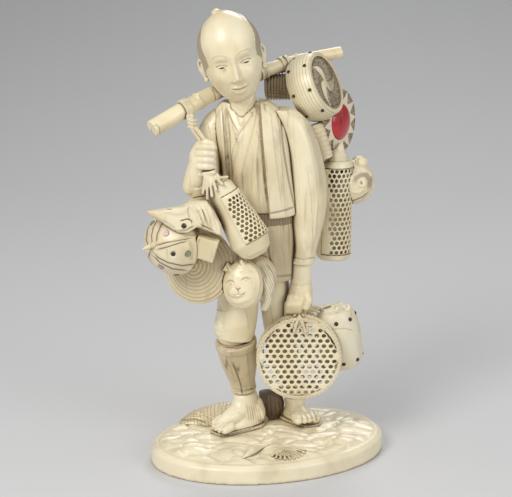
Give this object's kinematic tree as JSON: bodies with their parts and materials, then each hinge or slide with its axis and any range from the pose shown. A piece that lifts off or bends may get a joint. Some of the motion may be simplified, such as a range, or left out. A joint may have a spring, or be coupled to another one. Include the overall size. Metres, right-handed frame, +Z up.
{
  "type": "okimono carving",
  "caption": "Standing toy-pedlar okimono: a robed man with a pole hung with pierced creels, drums, masks and toys, on an oval base that rests flat.",
  "frame": {"origin": "centre of the oval base's flat underside", "axes": "+Z up along the figure, +X to the viewer's right, +Y away from the viewer"},
  "size_m": [0.1265, 0.104, 0.2409],
  "materials": {
    "ivory": "polished satin",
    "stained_ivory": "stained satin",
    "black_horn": "polished",
    "pink_coral": "polished",
    "green_shell": "pearly",
    "red_stained_ivory": "stained satin"
  },
  "bodies": {
    "root": {"base": "ivory", "belt": "stained_ivory", "carrying_pole": "ivory", "cat_mask": "ivory", "coat": "ivory", "coral_inlays": "pink_coral", "creel_lids": "ivory", "front_creel": "ivory", "front_creel_mesh": "ivory", "front_strap": "ivory", "gaiter_ties": "stained_ivory", "ground_bundle": "stained_ivory", "ground_hat": "ivory", "hand_cords": "ivory", "head": "ivory", "horn_inlays": "black_horn", "horn_studs": "black_horn", "inner_collar": "stained_ivory", "joint_pins": "ivory", "lapels": "ivory", "large_drum": "ivory", "large_drum_heads": "ivory", "left_foot": "ivory", "left_forearm": "ivory", "left_gaiter": "ivory", "left_hand": "ivory", "left_sleeve": "ivory", "left_thigh": "ivory", "mask_cloth": "ivory", "neck": "ivory", "pointed_cap": "ivory", "pole_bindings": "stained_ivory", "rear_creel": "ivory", "rear_creel_mesh": "ivory", "ribbed_coil": "stained_ivory", "ribbed_roll": "ivory", "right_foot": "ivory", "right_forearm": "ivory", "right_gaiter": "ivory", "right_sleeve": "ivory", "right_thigh": "ivory", "ringed_hat": "ivory", "robe_body": "ivory", "round_basket_back": "ivory", "round_basket_net": "ivory", "round_basket_rim": "ivory", "sandals": "ivory", "scallop_shell": "ivory", "shell_inlays": "green_shell", "skirt": "ivory", "small_drum": "ivory", "spinning_top": "ivory", "spiral_shell": "ivory", "sun_boss": "red_stained_ivory", "sun_disc": "ivory", "top_peg": "ivory", "topknot": "stained_ivory", "toy_ball": "ivory", "toy_block": "ivory"}
  },
  "joints": []
}
